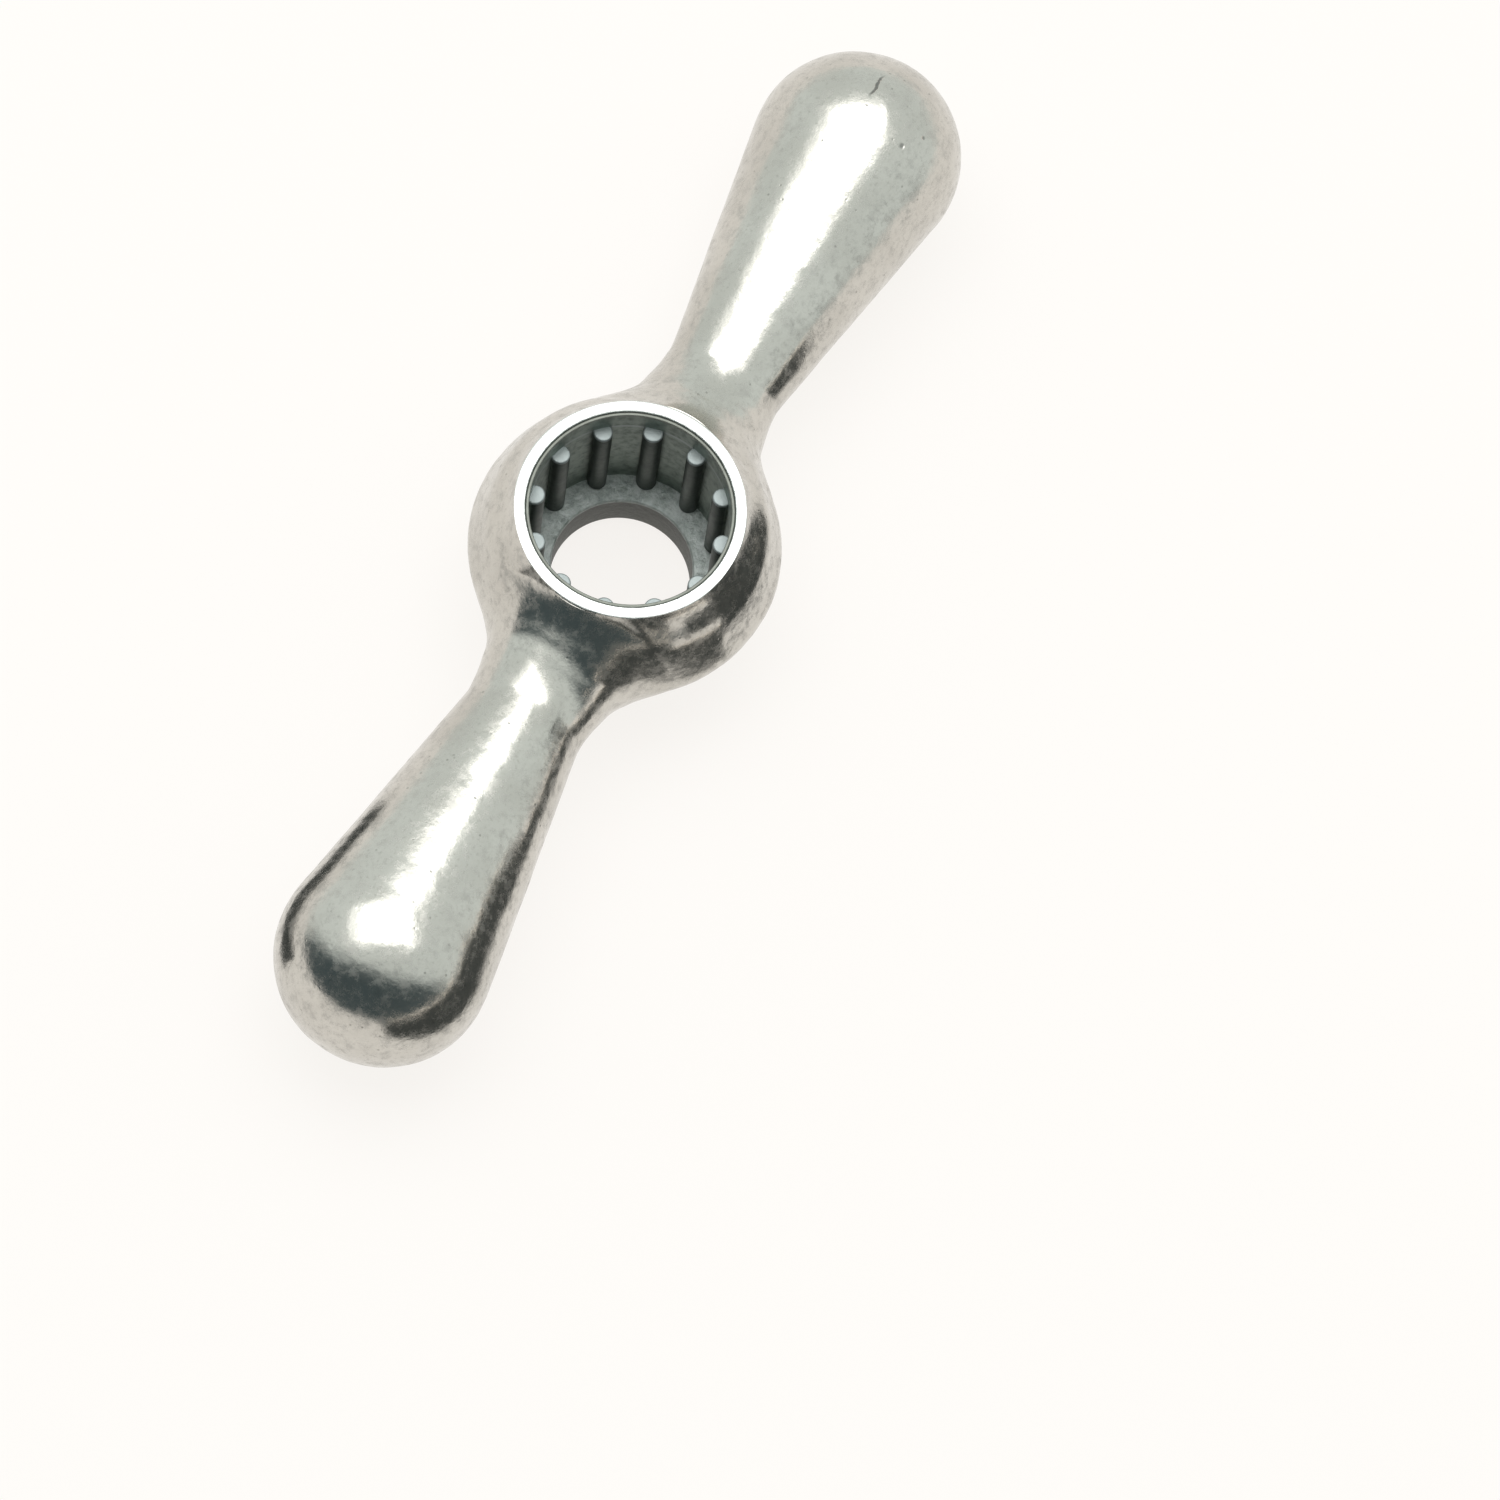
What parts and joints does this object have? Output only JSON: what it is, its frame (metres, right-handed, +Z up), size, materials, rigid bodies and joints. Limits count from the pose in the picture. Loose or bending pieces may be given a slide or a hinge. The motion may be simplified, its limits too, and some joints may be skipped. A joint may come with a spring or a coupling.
{
  "type": "wing nut",
  "caption": "Two-armed wing nut with round-ended grips, a barrel hub and a pressed-in ribbed socket sleeve that turns a hexagon nut.",
  "frame": {"origin": "centre of the hub's base face, which the part stands on", "axes": "+X along the wings, +Y across them, +Z up along the hub's axis and out of the socket's mouth"},
  "size_m": [0.0948, 0.0248, 0.0174],
  "materials": {
    "cast_body": "cast and tumble-polished to a satin shine, with fine pits and a bright faced rim",
    "ribbed_sleeve": "dull grey as-cast skin with brighter rib tops"
  },
  "bodies": {
    "root": {"wing_body": "cast_body", "drive_sleeve": "ribbed_sleeve"}
  },
  "joints": []
}
